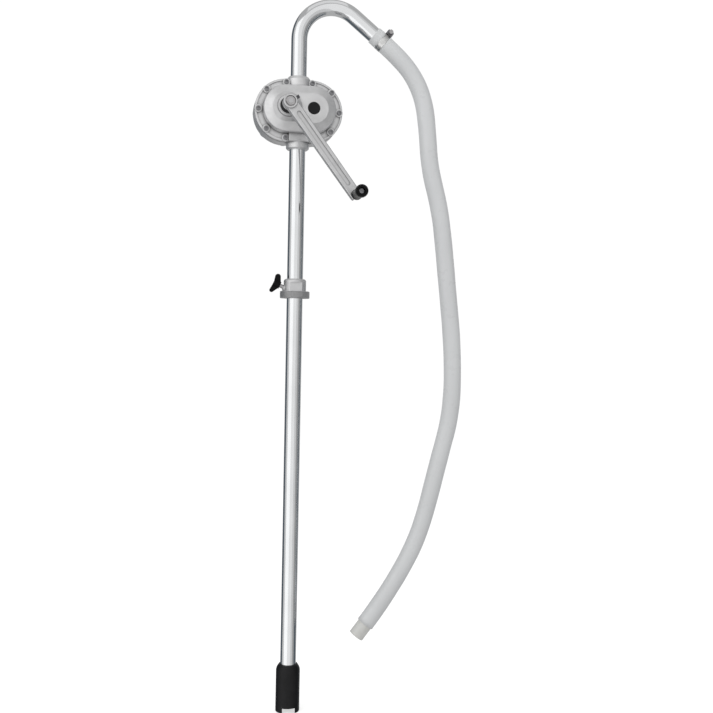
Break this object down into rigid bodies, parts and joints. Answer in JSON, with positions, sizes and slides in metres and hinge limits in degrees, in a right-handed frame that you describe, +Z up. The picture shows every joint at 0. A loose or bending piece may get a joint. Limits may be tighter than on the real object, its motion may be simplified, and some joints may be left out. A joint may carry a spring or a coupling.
{
  "type": "hand barrel pump",
  "caption": "Crank-driven twin-rotor hand pump on a suction pipe that slides in a clamping bung adapter, with a foot valve, a bent spout and a free-hanging hose.",
  "frame": {"origin": "on the pipe axis at the seat of the bung thread", "axes": "+Z up along the suction pipe, -Y towards the crank and the user, +X towards the hose"},
  "size_m": [0.4401, 0.198, 1.4389],
  "materials": {
    "cast_aluminium": "satin cast surface",
    "crank_casting": "satin cast surface with a smooth groove",
    "polished_pipe": "polished",
    "zinc_steel": "zinc plated",
    "dark_screws": "blackened steel",
    "bronze": "plain bearing bronze",
    "hard_steel": "ground",
    "rotor_plastic": "acetal, machined",
    "black_plastic": "moulded, fine grain",
    "black_rubber": "moulded",
    "gasket_fibre": "pressed fibre",
    "hose_pvc": "milky soft PVC, smooth",
    "tip_plastic": "white polythene",
    "clamp_steel": "stainless band"
  },
  "bodies": {
    "bung_adapter": {"bung_adapter": "cast_aluminium"},
    "pipe_seal": {"pipe_seal_ring": "black_rubber"},
    "clamp_pad": {"clamp_pad": "bronze"},
    "thumb_screw": {"thumb_screw_shank": "zinc_steel", "thumb_screw_wing": "black_plastic"},
    "pump": {"pump_housing": "cast_aluminium", "bearing_plate": "cast_aluminium", "housing_gasket": "gasket_fibre", "gear_cover": "cast_aluminium", "cover_screws": "zinc_steel", "plate_dowels": "hard_steel", "front_bushes": "bronze", "plate_bushes": "bronze", "shaft_seal": "black_rubber", "idler_bore_plug": "black_plastic", "suction_pipe": "polished_pipe", "suction_pipe_seal": "black_rubber", "spout_pipe": "polished_pipe", "spout_pipe_seal": "black_rubber", "foot_valve_body": "black_plastic", "valve_seat": "bronze", "foot_strainer": "black_plastic", "delivery_hose": "hose_pvc", "hose_tip": "tip_plastic", "hose_clamp_band": "clamp_steel", "hose_clamp_housing": "clamp_steel"},
    "foot_valve": {"valve_disc": "black_rubber"},
    "crank": {"drive_shaft": "hard_steel", "drive_rotor": "rotor_plastic", "drive_gear": "hard_steel", "drive_keys": "hard_steel", "drive_retaining_ring": "hard_steel", "crank_arm": "crank_casting", "hub_set_screw": "dark_screws", "crank_washer": "zinc_steel", "crank_nut": "zinc_steel", "grip_bolt": "zinc_steel"},
    "idler": {"idler_shaft": "hard_steel", "idler_rotor": "rotor_plastic", "idler_gear": "hard_steel", "idler_keys": "hard_steel", "idler_retaining_ring": "hard_steel"},
    "grip": {"crank_grip": "black_plastic"},
    "hose_clamp_screw": {"hose_clamp_screw": "zinc_steel"}
  },
  "joints": [
    {"name": "pump_swivel", "type": "hinge", "parent": "bung_adapter", "child": "pipe_seal", "pos_m": [0, 0, 0], "axis": [0, 0, 1], "continuous": true},
    {"name": "pump_height", "type": "slide", "parent": "pipe_seal", "child": "pump", "axis": [0, 0, 1], "range_m": [-0.25, 0.72]},
    {"name": "crank_turn", "type": "hinge", "parent": "pump", "child": "crank", "pos_m": [-0.026, 0, 0.359], "axis": [0, -1, 0], "continuous": true},
    {"name": "idler_turn", "type": "hinge", "parent": "pump", "child": "idler", "pos_m": [0.026, 0, 0.359], "axis": [0, -1, 0], "continuous": true},
    {"name": "grip_spin", "type": "hinge", "parent": "crank", "child": "grip", "pos_m": [0.1052, -0.1, 0.18615], "axis": [0, -1, 0], "continuous": true},
    {"name": "clamp_pad_slide", "type": "slide", "parent": "bung_adapter", "child": "clamp_pad", "axis": [-0.9063, 0, 0.4226], "range_m": [0, 0.0025]},
    {"name": "thumb_screw_turn", "type": "hinge", "parent": "clamp_pad", "child": "thumb_screw", "pos_m": [-0.016, 0, 0.0045], "axis": [-0.9063, 0, 0.4226], "range_deg": [0, 720]},
    {"name": "hose_clamp_screw_turn", "type": "hinge", "parent": "pump", "child": "hose_clamp_screw", "pos_m": [0.18537, 0, 0.53018], "axis": [0, -1, 0], "continuous": true},
    {"name": "foot_valve_lift", "type": "slide", "parent": "pump", "child": "foot_valve", "axis": [0, 0, 1], "range_m": [0, 0.006]}
  ],
  "couplings": [
    {"joint": "idler_turn", "follows": "crank_turn", "ratio": -1},
    {"joint": "clamp_pad_slide", "follows": "thumb_screw_turn", "m_per_rad": 0.00019894}
  ]
}
